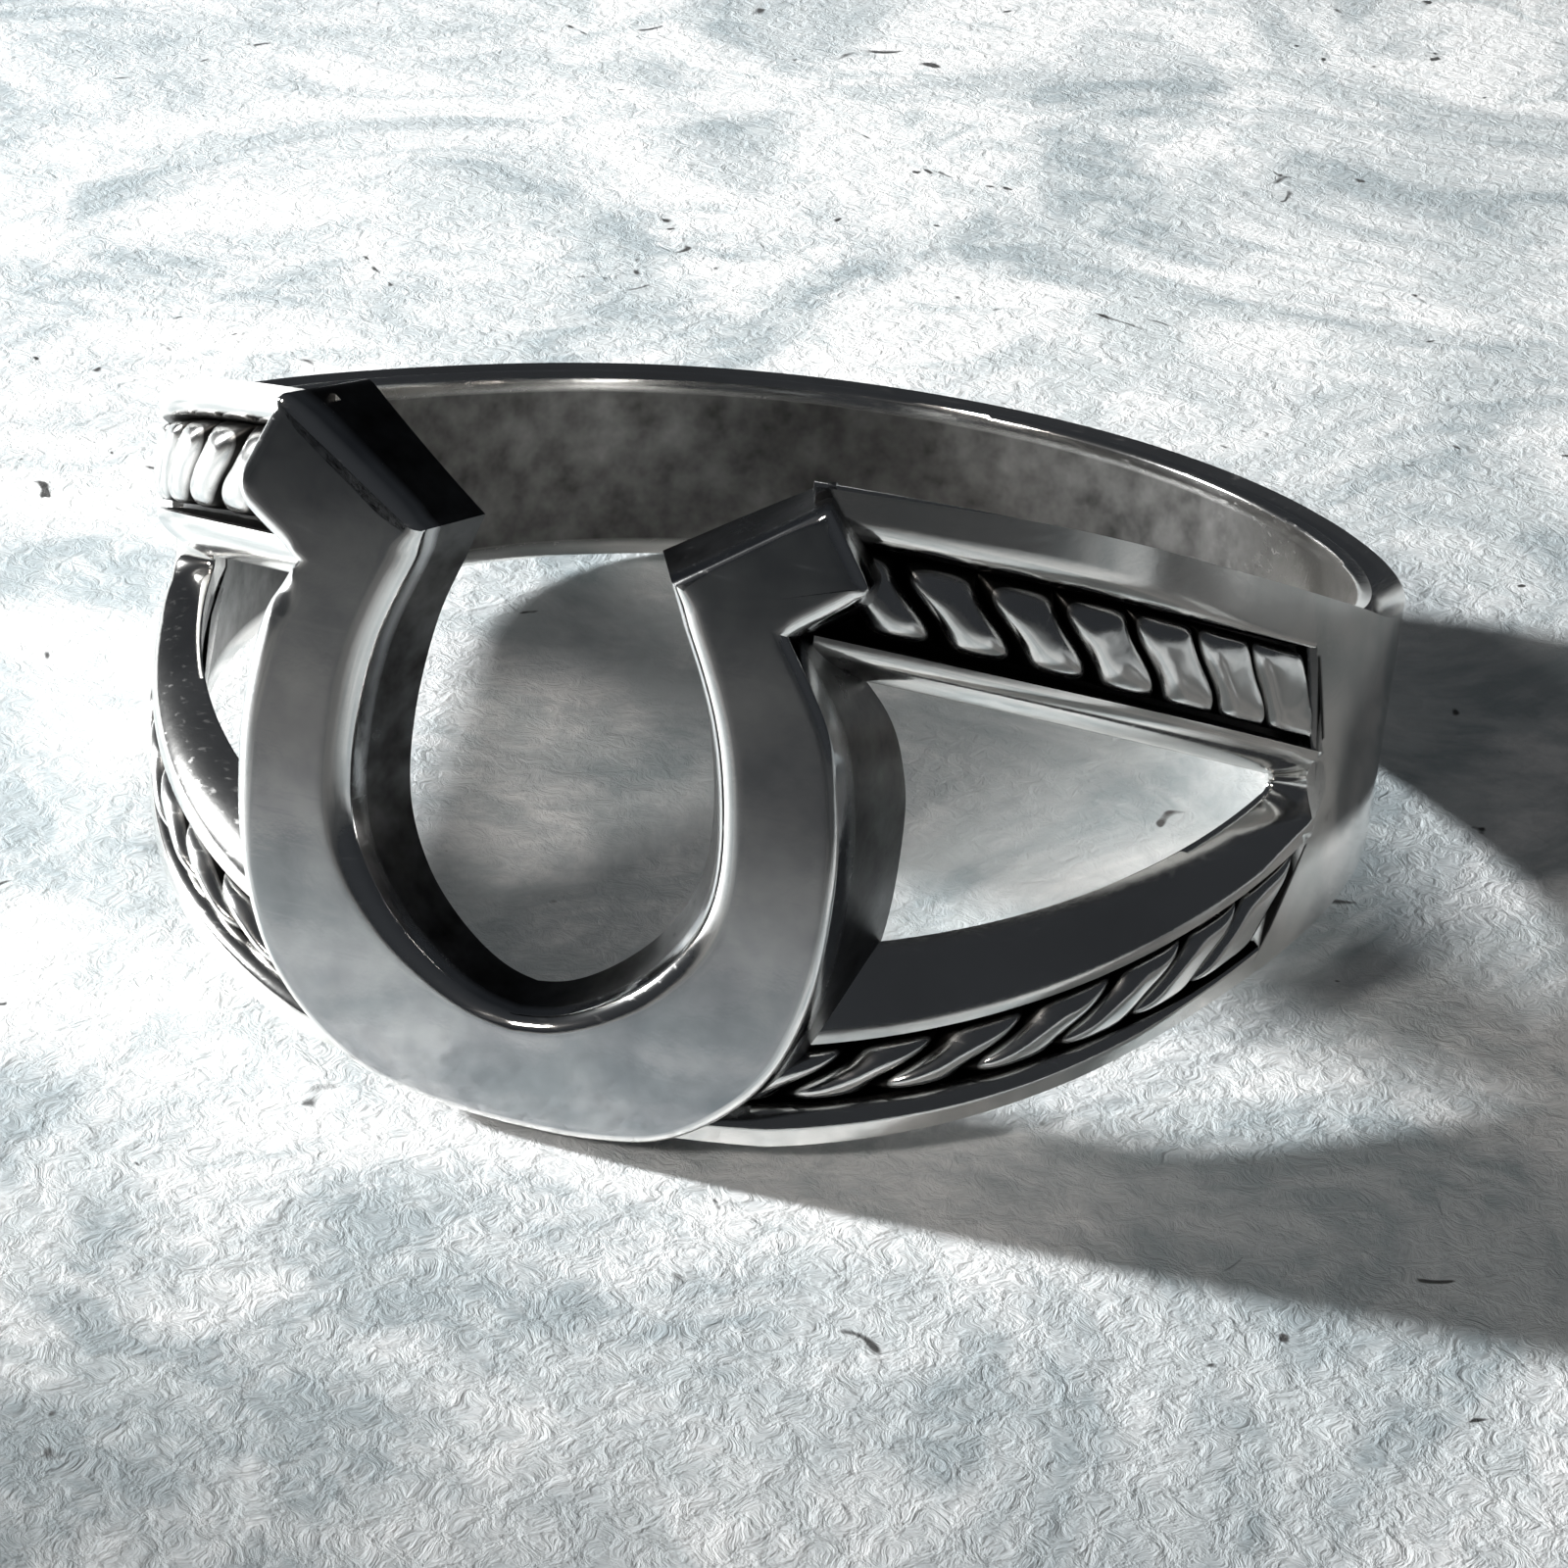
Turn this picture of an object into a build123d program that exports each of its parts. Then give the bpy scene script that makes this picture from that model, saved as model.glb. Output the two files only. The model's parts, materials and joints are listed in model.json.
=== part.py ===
from build123d import *
from math import atan2, cos, radians, sin
import os

# Finger ring with a horseshoe head and split shoulders that carry a rope pattern. Millimetres.
# Every piece is drawn square to the finger hole, on the planes named below, and these planes
# lean back so that the ring lies at rest: the shoe's toe and the back of the shank touch Z = 0.
# The origin is on the table, under the middle of the ring.

# Finger hole and shank
bore_radius = 9.5
shank_radius = 10.3
shank_round = 0.45
reach = 14.0                   # long enough to pass through any part of the ring
tolerance = 0.01               # for telling which edges lie on a surface

# Horseshoe: its outline on the flat front face and, lofted from there, on a plane inside the shank.
# Each pair is (across, along the finger), measured from the middle of the finger hole. The shoe is
# hand cut, so its heel, the flare of its foot and the notch differ a little from side to side.
face_depth = -10.45
root_depth = -7.90
face_outline = dict(
    heel_inner=(1.94, 3.97), heel_outer={1: (4.09, 5.49), -1: (4.20, 5.62)},
    foot={1: (4.79, 4.42), -1: (4.90, 4.02)}, notch={1: (3.64, 3.56), -1: (3.84, 3.16)},
    side=(4.66, 0.0), side_low=(4.14, -2.90), toe_corner=(2.55, -4.52), toe=(0.0, -4.92),
    eye_high=(2.58, 2.35), eye_side=(2.98, -0.20), eye_toe=(0.0, -3.18),
)
root_outline = dict(
    heel_inner=(0.55, 4.20), heel_outer={1: (3.35, 5.32), -1: (3.35, 5.50)},
    foot={1: (4.74, 3.66), -1: (4.74, 3.30)}, notch={1: (3.80, 2.90), -1: (3.92, 2.55)},
    side=(4.98, 0.0), side_low=(4.52, -3.05), toe_corner=(2.95, -4.82), toe=(0.0, -5.20),
    eye_high=(1.34, 2.60), eye_side=(1.86, -0.20), eye_toe=(0.0, -2.52),
)
side_bulge = 0.21              # how far the curved sides stand out from straight lines
low_bulge = 0.13
corner_bulge = 0.17
face_round = 0.15

# Shoulder pieces: radii from the finger axis, and edges on the ring's side view
rail_radius = 10.42
frame_radius = 10.36
bed_radius = 9.88
rope_radius = 10.34
rope_gap = 0.10                # recess between a rope and the rails beside it
split_bevel = 0.42
split_middle = -0.1            # height of the splits' tips
# The left shoulder sits a little lower than the right one, as hand work does.
shoulder_lines = {
    ("upper", 1): dict(
        rim=[(-10.6, 5.75), (-8.1, 5.12), (-5.2, 4.02), (-2.3, 2.90), (0.0, 2.10)],
        rail=[(-10.6, 5.18), (0.0, 1.20)],
        frame=[(-10.6, 3.77), (-2.74, 0.63), (-1.90, 0.29)],
        split=[(-10.6, 3.30), (-2.85, 0.14)],
    ),
    ("upper", -1): dict(
        rim=[(-10.6, 5.85), (-8.4, 4.95), (-5.9, 3.75), (-2.7, 2.66), (0.0, 2.10)],
        rail=[(-10.6, 5.28), (0.0, 0.99)],
        frame=[(-10.6, 3.56), (-2.74, 0.63), (-1.90, 0.29)],
        split=[(-10.6, 3.05), (-2.85, 0.04)],
    ),
    ("lower", 1): dict(
        rim=[(-10.6, -4.80), (-9.6, -4.60), (-7.2, -3.80), (-3.9, -2.80), (0.0, -2.30)],
        rail=[(-10.6, -4.40), (0.0, -1.27)],
        frame=[(-10.6, -3.36), (-2.80, -0.81), (-1.90, -0.52)],
        split=[(-10.6, -2.25), (-2.85, -0.22)],
    ),
    ("lower", -1): dict(
        rim=[(-10.6, -4.80), (-9.6, -4.60), (-7.2, -3.80), (-3.9, -2.80), (0.0, -2.30)],
        rail=[(-10.6, -4.40), (0.0, -1.27)],
        frame=[(-10.6, -3.50), (-2.80, -0.81), (-1.90, -0.52)],
        split=[(-10.6, -2.55), (-2.85, -0.28)],
    ),
}
rim_tangents = dict(upper=[(1, -0.25), (1, -0.26)], lower=[(1, 0.15), (1, 0.05)])
rim_back = dict(
    upper=[(0.0, 2.10), (5.0, 1.50), (10.6, 1.25)],
    lower=[(0.0, -2.30), (5.0, -2.29), (10.6, -2.222)],
)
rail_round = {("upper", 1): 0.26, ("upper", -1): 0.16, ("lower", 1): 0.12, ("lower", -1): 0.12}
shoulder_start = dict(upper=3.60, lower=2.60)
# Seam between the shank and the shoulder pieces, where the channels end
seam = [
    (-3.80, 3.60), (-2.74, 0.63), (-1.90, 0.29), (-1.90, -0.52), (-2.80, -0.81), (-3.85, -2.52),
    (-4.20, -3.60),
]

# Rope lobes, spaced by angle round the finger; the rope's middle line climbs by so much for each
# millimetre forward, and the grooves lean off square to it
lobe_count = 7
lobe_start = dict(upper=22.8, lower=18.0)
lobe_pitch = dict(upper=6.8, lower=7.5)
lobe_lean = dict(upper=27.0, lower=35.0)
lobe_slope = dict(upper=0.388, lower=-0.311)
lobe_rise = dict(upper=0.32, lower=-0.60)
groove_size = 0.34
groove_length = 4.0

# Lean of the ring at rest, from the two places that touch the table
toe_contact = Vector(-bore_radius, -5.024)
back_contact = Vector(9.92, -2.223)
lean = atan2(back_contact.Y - toe_contact.Y, back_contact.X - toe_contact.X)
rise = back_contact.X * sin(lean) - back_contact.Y * cos(lean)
set_back = 0.35                # puts the middle of the footprint on the origin

ring = Plane(origin=(0, set_back, rise), x_dir=(1, 0, 0), z_dir=(0, sin(lean), cos(lean)))
front = Plane(origin=ring.origin, x_dir=(1, 0, 0), z_dir=-ring.y_dir)
side = Plane(origin=ring.origin, x_dir=ring.y_dir, z_dir=(1, 0, 0))


def between(a, b, outward=0.0, upward=0.0):
    """The point half way from a to b, moved off the straight line."""
    return ((a[0] + b[0]) / 2 + outward, (a[1] + b[1]) / 2 + upward)


def shoe_lines(outline, eye):
    """One closed outline of the shoe, or of the shoe with its eye and heel gap filled in."""
    for hand in (1, -1):
        def at(point):
            return (hand * point[0], point[1])
        heel, foot, notch = outline["heel_outer"][hand], outline["foot"][hand], outline["notch"][hand]
        side_point, side_low, toe_corner = outline["side"], outline["side_low"], outline["toe_corner"]
        Polyline(at(outline["heel_inner"]), at(heel), at(foot), at(notch))
        ThreePointArc(at(notch), at(between(notch, side_point, side_bulge)), at(side_point))
        ThreePointArc(at(side_point), at(between(side_point, side_low, low_bulge)), at(side_low))
        corner = between(side_low, toe_corner, corner_bulge, -corner_bulge)
        ThreePointArc(at(side_low), at(corner), at(toe_corner))
        if eye:
            ThreePointArc(at(outline["heel_inner"]), at(outline["eye_high"]), at(outline["eye_side"]))
    left_corner = (-toe_corner[0], toe_corner[1])
    ThreePointArc(toe_corner, outline["toe"], left_corner)
    if eye:
        left_side = (-outline["eye_side"][0], outline["eye_side"][1])
        ThreePointArc(outline["eye_side"], outline["eye_toe"], left_side)
    else:
        Line(outline["heel_inner"], (-outline["heel_inner"][0], outline["heel_inner"][1]))


def shoe_body(eye):
    """Loft the shoe from its front face back to the inside of the shank."""
    with BuildPart() as body:
        for depth, outline in ((face_depth, face_outline), (root_depth, root_outline)):
            with BuildSketch(front.offset(-depth)):
                with BuildLine():
                    shoe_lines(outline, eye)
                make_face()
        loft(ruled=True)
    return body


def bore_cut():
    with Locations(ring.location):
        Cylinder(bore_radius, 2 * reach, mode=Mode.SUBTRACT)


def keep_inside(radius):
    with Locations(ring.location):
        Cylinder(radius, 2 * reach, mode=Mode.INTERSECT)


def long_edges(part, radius):
    """The edges of a piece that run round the ring at the given radius, without its two ends."""
    def runs_round(edge):
        places = [ring.to_local_coords(edge @ t) for t in (0.2, 0.5, 0.8)]
        on_radius = all(abs(Vector(p.X, p.Y).length - radius) < tolerance for p in places)
        run = places[2] - places[0]
        return on_radius and abs(run.Z) < 0.8 * run.length
    return part.edges().filter_by(runs_round)


pieces = {}


def keep(piece, label):
    piece.part.label = label
    pieces[label] = piece.part


# Horseshoe head
shoe_blank = shoe_body(eye=True)
with BuildPart() as horseshoe:
    add(shoe_blank.part)
    bore_cut()
    fillet(horseshoe.faces().sort_by(Axis(ring.origin, -ring.y_dir))[-1].edges(), face_round)
keep(horseshoe, "horseshoe")

# The space that the head takes out of the shoulders
head_space = shoe_body(eye=False)

# The space behind the seam, which is the shank's
with BuildPart() as shank_space:
    with BuildSketch(side):
        with BuildLine():
            Polyline(*seam, (reach, seam[-1][1]), (reach, seam[0][1]), close=True)
        make_face()
    extrude(amount=reach, both=True)

# Shank: the plain band, with its own rims on each side in front and one pair of rims behind
with BuildPart() as shank:
    for across in (1, -1):
        with BuildSketch(side):
            with BuildLine():
                upper_rim = shoulder_lines["upper", across]["rim"]
                lower_rim = shoulder_lines["lower", across]["rim"]
                Spline(*upper_rim, tangents=rim_tangents["upper"])
                Spline(*lower_rim, tangents=rim_tangents["lower"])
                Line(upper_rim[0], lower_rim[0])
                Line(upper_rim[-1], lower_rim[-1])
            make_face()
        extrude(amount=across * reach)
    with BuildSketch(side):
        with BuildLine():
            Spline(*rim_back["upper"], tangents=[rim_tangents["upper"][1], (1, 0)])
            Spline(*rim_back["lower"], tangents=[rim_tangents["lower"][1], (1, 0)])
            Line(rim_back["upper"][0], rim_back["lower"][0])
            Line(rim_back["upper"][-1], rim_back["lower"][-1])
        make_face()
    extrude(amount=reach, both=True)
    keep_inside(shank_radius)
    bore_cut()
    add(shank_space.part, mode=Mode.INTERSECT)
    fillet(long_edges(shank.part, shank_radius), shank_round)
keep(shank, "shank")


# Shoulders: each pair of arms frames a split, and each arm carries a rope between two rails
def shoulder_band(level, across, low, high, radius, gap=0.0, rounding=0.0):
    """A strip of the ring wall between two lines of the side view, stopped by the head and the seam."""
    lines = shoulder_lines[level, across]
    outward = 1 if level == "upper" else -1
    with BuildPart() as band:
        with BuildSketch(side.offset(across * shoulder_start[level])):
            for name, step, mode in ((high, -gap, Mode.ADD), (low, gap, Mode.SUBTRACT)):
                points = [(p[0], p[1] + outward * step) for p in lines[name]]
                with BuildLine():
                    if name == "rim":
                        Spline(*points, tangents=rim_tangents[level])
                    else:
                        Polyline(*points)
                    Polyline(points[0], (points[0][0], 0), (points[-1][0], 0), points[-1])
                make_face(mode=mode)
        extrude(amount=across * reach)
        keep_inside(radius)
        bore_cut()
        if rounding:
            fillet(long_edges(band.part, radius), rounding)
        for space in (head_space, shank_space):
            add(space.part, mode=Mode.SUBTRACT)
    return band


def height_on(line, depth):
    """Height of a straight line of the side view at the given depth."""
    (depth_a, height_a), (depth_b, height_b) = line[:2]
    return height_a + (height_b - height_a) * (depth - depth_a) / (depth_b - depth_a)


def borders_split(edge):
    """True for an edge on the frame's outer surface that belongs to the split, not to a rope channel."""
    middle = ring.to_local_coords(edge @ 0.5)
    lines = shoulder_lines["upper" if middle.Z > split_middle else "lower", 1 if middle.X > 0 else -1]
    limit = (abs(height_on(lines["frame"], middle.Y)) + abs(height_on(lines["split"], middle.Y))) / 2
    on_surface = abs(Vector(middle.X, middle.Y).length - frame_radius) < tolerance
    tip_depth = lines["split"][1][0]
    return on_surface and abs(middle.Z) < limit and middle.Y < tip_depth + split_bevel / 4


def split_frame(across):
    """The bent bar that frames a split, from the head round the split's tip and back."""
    upper, lower = shoulder_lines["upper", across], shoulder_lines["lower", across]
    with BuildPart() as bar:
        with BuildSketch(side):
            with BuildLine():
                Polyline(*upper["frame"], *reversed(lower["frame"]), close=True)
            make_face()
            with BuildLine():
                Polyline(*upper["split"], *reversed(lower["split"]), close=True)
            make_face(mode=Mode.SUBTRACT)
        extrude(amount=across * reach)
        keep_inside(frame_radius)
        bore_cut()
        chamfer(bar.edges().filter_by(borders_split), split_bevel)
        for space in (head_space, shank_space):
            add(space.part, mode=Mode.SUBTRACT)
    return bar


def rope(level, across):
    """A rope of leaning lobes, parted by V grooves."""
    upright = 1 if level == "upper" else -1
    with BuildPart() as strand:
        add(shoulder_band(level, across, "frame", "rail", rope_radius, rope_gap).part)
        with Locations(ring.location):
            Cylinder(bed_radius, 2 * reach, mode=Mode.SUBTRACT)
        grooves = []
        for k in range(lobe_count):
            angle = lobe_start[level] + k * lobe_pitch[level]
            height = lobe_slope[level] * rope_radius * cos(radians(angle)) + lobe_rise[level]
            tilt = Rot(0, -across * upright * lobe_lean[level], 0) * Rot(0, 0, 45)
            grooves.append(ring.location * Rot(0, 0, across * angle) * Pos(0, -rope_radius, height) * tilt)
        with Locations(*grooves):
            Box(groove_size, groove_size, groove_length, mode=Mode.SUBTRACT)
    return strand


for across, hand in ((1, "right"), (-1, "left")):
    keep(split_frame(across), f"split_frame_{hand}")
    for level in ("upper", "lower"):
        rail = shoulder_band(level, across, "rail", "rim", rail_radius,
                             rounding=rail_round[level, across])
        keep(rail, f"outer_rail_{level}_{hand}")
        bed = shoulder_band(level, across, "frame", "rail", bed_radius)
        keep(bed, f"channel_bed_{level}_{hand}")
        keep(rope(level, across), f"rope_{level}_{hand}")

os.makedirs("parts", exist_ok=True)
for label, part in pieces.items():
    export_step(part, f"parts/{label}.step")
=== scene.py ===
"""Silver finger ring with a horseshoe head, lying on a pale table.

Shapes are worked out in millimetres in the ring's own axes (x across, y towards the back of the
finger, z along the finger), then turned and shrunk into the CAD frame in metres. A "side line" is
a line of the ring's side view, given as (y, z) points.
"""
import json
from math import acos, cos, pi, radians, sin, sqrt

import bmesh
import bpy
from mathutils import Matrix, Vector, noise


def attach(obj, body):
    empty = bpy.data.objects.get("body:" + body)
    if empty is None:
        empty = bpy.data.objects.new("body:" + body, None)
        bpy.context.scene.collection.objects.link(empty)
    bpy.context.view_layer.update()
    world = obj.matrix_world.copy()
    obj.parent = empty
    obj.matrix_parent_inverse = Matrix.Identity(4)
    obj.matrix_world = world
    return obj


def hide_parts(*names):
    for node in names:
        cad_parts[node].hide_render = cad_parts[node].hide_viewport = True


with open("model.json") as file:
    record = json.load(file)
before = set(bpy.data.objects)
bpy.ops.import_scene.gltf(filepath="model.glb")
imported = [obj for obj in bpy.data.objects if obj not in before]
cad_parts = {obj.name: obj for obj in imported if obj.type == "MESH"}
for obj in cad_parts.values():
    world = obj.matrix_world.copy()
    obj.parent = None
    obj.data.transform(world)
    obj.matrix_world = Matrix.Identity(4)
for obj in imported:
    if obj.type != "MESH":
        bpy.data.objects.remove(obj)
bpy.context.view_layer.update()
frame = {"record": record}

MM = 0.001

# Ring axes, from the finger hole that the record states
mount = frame["record"]["mounts"][0]
AXIS = Vector(mount["axis"]).normalized()
BORE = mount["dims"]["r_mm"]
SET_BACK = 0.35                  # the hole's middle, in mm behind the origin
RISE = 3.6164                    # and in mm above the table
RING_TO_CAD = Matrix((
    (1, 0, 0, 0),
    (0, AXIS.z, AXIS.y, SET_BACK),
    (0, -AXIS.y, AXIS.z, RISE),
    (0, 0, 0, 1),
))

# Radii from the finger's axis
SHANK_R = 10.30
RAIL_R = 10.41
FRAME_R = 10.35
BED_R = 9.88
ARM_BORE = BORE + 0.02           # rails and frames, just outside the shoe's hollow back
BED_BORE = BORE + 0.05

# Side lines: rims, and the edges of the rope channels and the splits
UPPER_BACK = [(5, 1.50), (10.6, 1.25)]
LOWER_BACK = [(5, -2.29), (10.6, -2.222)]
LOWER_RIM = [(-10.6, -4.80), (-9.6, -4.60), (-7.2, -3.80), (-3.9, -2.80), (0, -2.30)] + LOWER_BACK
LOWER_RAIL = [(-10.6, -4.40), (0.0, -1.27)]
LINES = {
    ("upper", 1): dict(
        rim=[(-10.6, 5.75), (-8.1, 5.12), (-5.2, 4.02), (-2.3, 2.90), (0, 2.10)] + UPPER_BACK,
        rail=[(-10.6, 5.18), (0.0, 1.20)], frame=[(-10.6, 3.77), (-2.74, 0.63), (-1.90, 0.29)],
        split=[(-10.6, 3.30), (-2.85, 0.14)]),
    ("upper", -1): dict(
        rim=[(-10.6, 5.85), (-8.4, 4.95), (-5.9, 3.75), (-2.7, 2.66), (0, 2.10)] + UPPER_BACK,
        rail=[(-10.6, 5.28), (0.0, 0.99)], frame=[(-10.6, 3.56), (-2.74, 0.63), (-1.90, 0.29)],
        split=[(-10.6, 3.05), (-2.85, 0.04)]),
    ("lower", 1): dict(
        rim=LOWER_RIM, rail=LOWER_RAIL, frame=[(-10.6, -3.36), (-2.80, -0.81), (-1.90, -0.52)],
        split=[(-10.6, -2.25), (-2.85, -0.22)]),
    ("lower", -1): dict(
        rim=LOWER_RIM, rail=LOWER_RAIL, frame=[(-10.6, -3.50), (-2.80, -0.81), (-1.90, -0.52)],
        split=[(-10.6, -2.55), (-2.85, -0.28)]),
}
# Depth y of the seam between shank and shoulders at each height z
SEAM = [(3.6, -3.80), (0.63, -2.74), (0.29, -1.90), (-0.52, -1.90), (-0.81, -2.80), (-2.52, -3.85),
        (-3.6, -4.20)]

# Angles round the finger, from its front, where the shoulder pieces start inside the shoe
FRAME_START = radians(21.5)
RAIL_START = {"upper": radians(20.5), "lower": radians(13.5)}
BED_START = {"upper": radians(20.5), "lower": radians(14)}
# First guesses at the seam's angle, which a few repeats refine
RAIL_GUESS = radians(71)
SHANK_GUESS = radians(73)

# Rope lobes: angles round the finger of the grooves' middles
GROOVES = {"upper": [22.8, 29.6, 36.4, 43.2, 50.0, 56.8, 63.6, 71.8],
           "lower": [18.0, 25.4, 33.0, 40.8, 48.9, 56.2, 62.8, 70.9]}
GROOVE_LEAN = {"upper": 3.9, "lower": 5.6}    # degrees round the finger, across the rope

# Rope shape, near the head and near the shank
ROPE_FADE = (34, 42)             # starts to flatten at this angle, over this many degrees
ROPE = dict(
    lobe_power=(2.3, 4.4), side_power=(2.6, 5.0),     # higher is squarer
    top=(10.46, 10.31), deep=(BED_R - 0.04, BED_R + 0.02),
    gap=(0.09, 0.12),            # to the frame and to the rail
    bend=(0.16, 0.05),           # of the grooves, into an S
    tilt=(0.09, 0.02),           # of the lobes, higher towards the head
)


def to_cad(point):
    """Ring millimetres to CAD metres."""
    return (RING_TO_CAD @ Vector(point)) * MM


def lerp(a, b, t):
    return a + (b - a) * t


def smooth(t):
    t = min(max(t, 0.0), 1.0)
    return t * t * (3 - 2 * t)


def height_on(points, y):
    """Height of a side line at depth y: straight from point to point, or for a rim a smooth curve."""
    k = 0
    while k < len(points) - 2 and y > points[k + 1][0]:
        k += 1
    (ya, za), (yb, zb) = points[k], points[k + 1]
    if len(points) < 5:
        return lerp(za, zb, (y - ya) / (yb - ya))
    before = points[max(k - 1, 0)]
    after = points[min(k + 2, len(points) - 1)]
    span = yb - ya
    slope_a = (zb - before[1]) / (yb - before[0]) * span
    slope_b = (after[1] - za) / (after[0] - ya) * span
    t = (y - ya) / span
    return ((2 * t**3 - 3 * t**2 + 1) * za + (t**3 - 2 * t**2 + t) * slope_a
            + (3 * t**2 - 2 * t**3) * zb + (t**3 - t**2) * slope_b)


def seam_depth(z):
    """Depth y of the seam between shank and shoulders at height z."""
    k = 0
    while k < len(SEAM) - 2 and z < SEAM[k + 1][0]:
        k += 1
    (za, ya), (zb, yb) = SEAM[k], SEAM[k + 1]
    return lerp(ya, yb, (z - za) / (zb - za))


def seam_angle(z, radius):
    return acos(-seam_depth(z) / radius)


def wavy(point, size, amount):
    """Small hand-worked unevenness."""
    return amount * noise.noise(Vector(point) / size)


# ---------------------------------------------------------------- mesh making

def make_piece(name, nodes, slot, material, points, faces, oxide_and_shade, sharp=45):
    """A smooth mesh with an amount of oxide black (patina, and painted shade on some pieces) at each
    point, in place of CAD nodes.
    """
    mesh = bpy.data.meshes.new(name)
    mesh.from_pydata([to_cad(p) for p in points], [], faces)
    mesh.validate()
    layer = mesh.attributes.new("oxide_and_shade", "FLOAT", "POINT")
    layer.data.foreach_set("value", oxide_and_shade)
    mesh.shade_smooth()
    mesh.set_sharp_from_angle(angle=radians(sharp))
    mesh.materials.append(material)
    piece = bpy.data.objects.new(name, mesh)
    bpy.context.collection.objects.link(piece)
    fix_outward(piece)
    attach(piece, "root")
    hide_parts(*nodes)


def fix_outward(piece):
    """Turn all faces outward."""
    bm = bmesh.new()
    bm.from_mesh(piece.data)
    bmesh.ops.recalc_face_normals(bm, faces=bm.faces)
    bm.to_mesh(piece.data)
    bm.free()


def sweep(sections, oxide_and_shade_rows):
    """A closed solid through sections with equal numbers of points, capped at both ends."""
    count = len(sections[0])
    points = [p for section in sections for p in section]
    oxide_and_shade = [value for row in oxide_and_shade_rows for value in row]
    faces = []
    for i in range(len(sections) - 1):
        for j in range(count):
            a, b = i * count + j, i * count + (j + 1) % count
            faces.append((a, b, b + count, a + count))
    last = (len(sections) - 1) * count
    faces.append(tuple(range(count)))
    faces.append(tuple(last + j for j in range(count)))
    return points, faces, oxide_and_shade


# ---------------------------------------------------------------- shank and shoulders

ROUND_STEPS = 7
RIM_IN, RIM_DOWN = 0.40, 0.45    # the rim's side slopes in this far and down this far, below its edge


def rim_slope(size_in, top):
    """(distance in, radius) points of the straight slope below a rim's edge, up to the edge."""
    points = []
    for k in range(ROUND_STEPS + 1):
        share = 1 - sin(k / ROUND_STEPS * pi / 2)
        points.append((size_in * share, top - RIM_DOWN * share))
    return points


def rail_section(width, top, channel_round, channel_drop, rim_in=RIM_IN):
    """Rail profile as (distance in from the rim, radius, oxide), from the bore round and back."""
    profile = [(0.10, ARM_BORE, 0.1), (0.03, ARM_BORE + 0.03, 0.0),
               (0.0, BORE + 0.10, 0.0), (0.0, BORE + 0.25, 0.0)]
    for distance, radius in rim_slope(rim_in, top):
        profile.append((distance, radius, 0.0))
    for k in range(1, 4):
        profile.append((lerp(rim_in, width - channel_round, k / 4), top, 0.0))
    for k in range(1, ROUND_STEPS + 1):
        a = k / ROUND_STEPS * pi / 2
        profile.append((width - channel_round * (1 - sin(a)), top - channel_drop * (1 - cos(a)),
                        max(0.0, (k - 4) / 3) * 0.8))
    profile.append((width + 0.01, BED_R + 0.08, 1.0))
    profile.append((width, ARM_BORE, 1.0))
    return profile


def along(start, end, count):
    return [lerp(start, end, k / (count - 1)) for k in range(count)]


def on_ring(hand, angle, radius, z):
    return (hand * radius * sin(angle), -radius * cos(angle), z)


CHANNEL_ROUND = (0.42, 0.05)     # a rail's rounding beside the channel, at the head and at the shank
CHANNEL_DROP = (0.34, 0.05)
SEAM_LAP = 0.004                 # radians by which a rail reaches into the shank
LOWEST_RAIL = -4.62              # the lower rails' starts stay above this height, inside the shoe


def rail_point(lines, start, t, top, fade, step):
    """One point of a rail's profile, as (angle, radius, z), distance in from the rim, and oxide."""
    angle = lerp(start, RAIL_GUESS, t)
    for _ in range(3):
        top_y = -top * cos(angle)
        width = max(abs(height_on(lines["rim"], top_y) - height_on(lines["rail"], top_y)), 0.2)
        most = width * 0.46
        profile = rail_section(width, top, min(lerp(*CHANNEL_ROUND, fade), most),
                               lerp(*CHANNEL_DROP, fade), min(RIM_IN, most))
        distance, radius, oxide_and_shade = profile[step]
        y = -radius * cos(angle)
        z = lerp(height_on(lines["rim"], y), height_on(lines["rail"], y), distance / width)
        angle = lerp(start, seam_angle(z, radius) + SEAM_LAP, t)
    return (angle, radius, z), distance, oxide_and_shade


def outer_rail(level, hand, material):
    """Rail along a rim, from inside the shoe to the shank, where it sinks to the shank's surface."""
    count = len(rail_section(1, RAIL_R, CHANNEL_ROUND[0], CHANNEL_DROP[0]))
    sections, oxide_and_shade_rows = [], []
    for t in along(0, 1, 90):
        fade = smooth((t - 0.45) / 0.5)
        top = lerp(RAIL_R, SHANK_R, fade)
        section, row = [], []
        for step in range(count):
            (angle, radius, z), distance, oxide_and_shade = rail_point(
                LINES[level, hand], RAIL_START[level], t, top, fade, step)
            if level == "lower":
                z = max(z, LOWEST_RAIL + distance)
            section.append(on_ring(hand, angle, radius, z))
            row.append(oxide_and_shade)
        sections.append(section)
        oxide_and_shade_rows.append(row)
    node = f"outer_rail_{level}_{'right' if hand > 0 else 'left'}"
    make_piece("visual_" + node, [node], "polished_silver", material, *sweep(sections, oxide_and_shade_rows))


BED_MIDDLE = 1.6                 # distance of a channel's middle at the seam from the ring's middle
BED_POINTS = 6                   # across each side of a bed


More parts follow.
